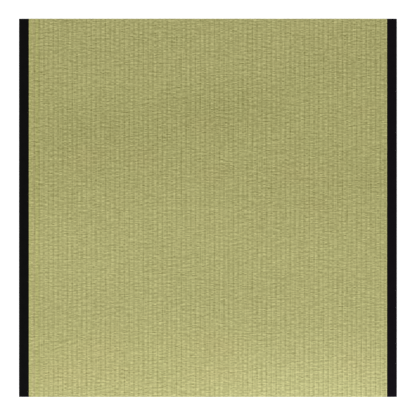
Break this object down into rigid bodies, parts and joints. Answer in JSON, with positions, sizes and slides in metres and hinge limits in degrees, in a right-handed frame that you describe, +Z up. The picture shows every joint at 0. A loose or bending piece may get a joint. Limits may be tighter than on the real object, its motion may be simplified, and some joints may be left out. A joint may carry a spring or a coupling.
{
  "type": "half-size tatami mat",
  "caption": "Square tatami floor mat: a woven rush face in fine parallel ribs over a thick flat mat, with a dark cloth border along two opposite sides.",
  "frame": {"origin": "middle of the underside, on the surface that the mat lies on", "axes": "+Z up, +Y along the ribs and the borders, +X across the mat from the left border to the right"},
  "size_m": [0.91, 0.91, 0.055],
  "materials": {
    "woven_rush": "woven dried rush, satin sheen along the strands",
    "border_cloth": "matte plain-woven cotton"
  },
  "bodies": {
    "root": {"rush_mat": "woven_rush", "border_left": "border_cloth", "border_right": "border_cloth"}
  },
  "joints": []
}
